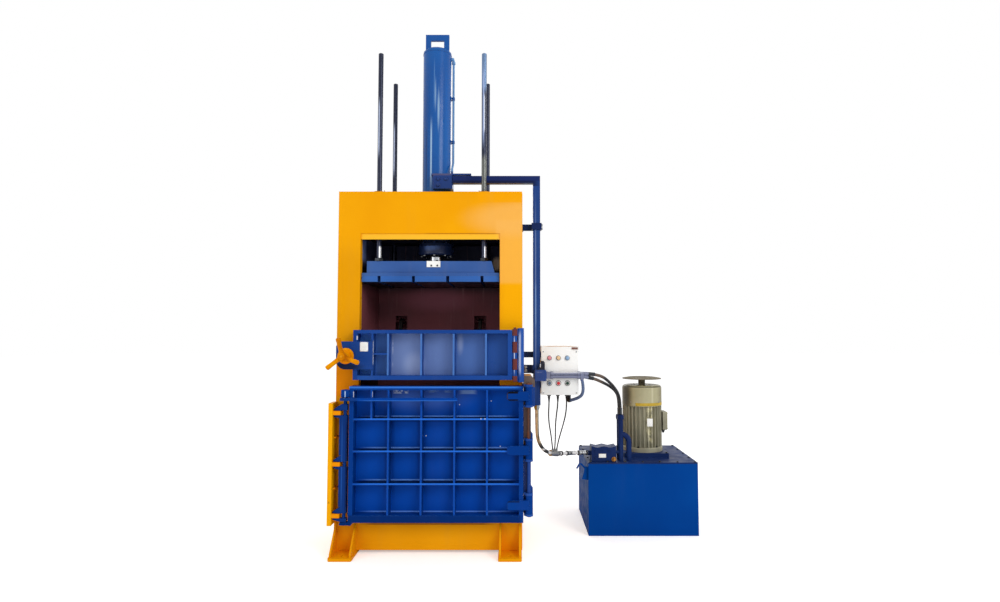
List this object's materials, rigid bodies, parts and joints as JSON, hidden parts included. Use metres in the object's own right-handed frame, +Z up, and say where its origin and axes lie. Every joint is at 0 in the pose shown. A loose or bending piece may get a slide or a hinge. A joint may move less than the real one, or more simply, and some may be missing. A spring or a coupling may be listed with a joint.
{
  "type": "vertical baling press",
  "caption": "Vertical hydraulic press that squeezes loose recyclables into a tied bale, with two hinged front doors and a separate power pack.",
  "frame": {"origin": "on the floor under the cylinder's axis, the centre of the four anchor holes", "axes": "+X to the right as seen from the doors, +Y to the back, +Z up along the cylinder's axis"},
  "size_m": [2.494, 1.2373, 3.607],
  "materials": {
    "yellow_paint": "gloss",
    "blue_paint": "gloss",
    "tank_blue": "semi-gloss",
    "navy_paint": "gloss",
    "chamber_brown": "worn matte",
    "dark_steel": "oiled",
    "rusty_pin": "oxidised",
    "ram_chrome": "polished",
    "bearing_bronze": "machined",
    "pale_plate": "satin",
    "cream_enamel": "satin",
    "lamp_lens": "gloss",
    "black_plastic": "matte",
    "motor_grey": "semi-gloss",
    "cast_metal": "cast",
    "black_rubber": "matte",
    "grey_conduit": "satin",
    "button_grey": "gloss",
    "button_red": "gloss",
    "button_green": "gloss"
  },
  "bodies": {
    "root": {"base_frame": "yellow_paint", "floor_feet": "yellow_paint", "front_portal": "yellow_paint", "side_columns": "yellow_paint", "rear_portal": "yellow_paint", "head_beam": "yellow_paint", "rod_guides": "bearing_bronze", "chamber_side_walls": "chamber_brown", "chamber_back_wall": "chamber_brown", "chamber_floor": "chamber_brown", "hinge_mounts": "yellow_paint", "hinge_pins": "rusty_pin", "keepers": "yellow_paint", "cylinder_barrel": "blue_paint", "cylinder_gland": "blue_paint", "cylinder_cap": "blue_paint", "port_block": "blue_paint", "pipe_duct": "navy_paint", "duct_brackets": "navy_paint", "control_box": "cream_enamel", "control_cover": "cream_enamel", "indicator_lamps": "lamp_lens", "cable_glands": "black_plastic", "hose_block": "navy_paint", "oil_tank": "tank_blue", "tank_lid": "tank_blue", "motor_housing": "motor_grey", "fan_cover": "motor_grey", "motor_canopy": "motor_grey", "terminal_box": "motor_grey", "bell_housing": "cast_metal", "gear_pump": "cast_metal", "valve_manifold": "navy_paint", "riser_pipes": "tank_blue", "cable_collar": "black_rubber", "return_hose": "black_rubber", "pressure_hose_front": "black_rubber", "pressure_hose_rear": "black_rubber", "control_cable_left": "black_rubber", "control_cable_middle": "black_rubber", "control_cable_right": "black_rubber", "conduit_loop": "grey_conduit"},
    "platen_group": {"platen": "blue_paint", "platen_shoes": "blue_paint", "guide_rods": "dark_steel", "piston_rod": "ram_chrome", "switch_plate": "pale_plate"},
    "upper_door_group": {"upper_door": "blue_paint", "latch_plate": "blue_paint"},
    "latch_wheel": {"hand_wheel": "yellow_paint", "latch_screw": "dark_steel"},
    "lower_door_group": {"lower_door": "blue_paint"},
    "lock": {"lock_shaft": "blue_paint"},
    "button_up": {"button_up": "button_grey"},
    "button_stop": {"button_stop": "button_red"},
    "button_down": {"button_down": "button_green"},
    "claw_left": {"claw_left": "dark_steel"},
    "claw_right": {"claw_right": "dark_steel"},
    "rotor": {"rotor_shaft": "dark_steel", "cooling_fan": "black_plastic"}
  },
  "joints": [
    {"name": "platen_press", "type": "slide", "parent": "root", "child": "platen_group", "axis": [0, 0, -1], "range_m": [0, 0.9]},
    {"name": "upper_door_hinge", "type": "hinge", "parent": "root", "child": "upper_door_group", "pos_m": [0.566, -0.393, 1.283], "axis": [0, 0, 1], "range_deg": [0, 110]},
    {"name": "latch_wheel_turn", "type": "hinge", "parent": "upper_door_group", "child": "latch_wheel", "pos_m": [-0.52, -0.42, 1.283], "axis": [0, 1, 0], "continuous": true},
    {"name": "lower_door_hinge", "type": "hinge", "parent": "root", "child": "lower_door_group", "pos_m": [0.657, -0.388, 0.68], "axis": [0, 0, 1], "range_deg": [0, 110]},
    {"name": "lock_turn", "type": "hinge", "parent": "lower_door_group", "child": "lock", "pos_m": [-0.528, -0.392, 0.6], "axis": [0, 0, -1], "range_deg": [0, 100]},
    {"name": "button_up_press", "type": "slide", "parent": "root", "child": "button_up", "axis": [0, 1, 0], "range_m": [0, 0.004], "stiffness_N_per_m": 700, "springref_m": -0.001},
    {"name": "button_stop_press", "type": "slide", "parent": "root", "child": "button_stop", "axis": [0, 1, 0], "range_m": [0, 0.004], "stiffness_N_per_m": 700, "springref_m": -0.001},
    {"name": "button_down_press", "type": "slide", "parent": "root", "child": "button_down", "axis": [0, 1, 0], "range_m": [0, 0.004], "stiffness_N_per_m": 700, "springref_m": -0.001},
    {"name": "claw_left_pivot", "type": "hinge", "parent": "root", "child": "claw_left", "pos_m": [-0.3, 0.34, 1.52], "axis": [1, 0, 0], "range_deg": [0, 40], "stiffness_Nm_per_rad": 2, "springref_deg": -34.38},
    {"name": "claw_right_pivot", "type": "hinge", "parent": "root", "child": "claw_right", "pos_m": [0.3, 0.34, 1.52], "axis": [1, 0, 0], "range_deg": [0, 40], "stiffness_Nm_per_rad": 2, "springref_deg": -34.38},
    {"name": "motor_turn", "type": "hinge", "parent": "root", "child": "rotor", "pos_m": [1.539, 0.355, 0.73], "axis": [0, 0, 1], "continuous": true}
  ]
}
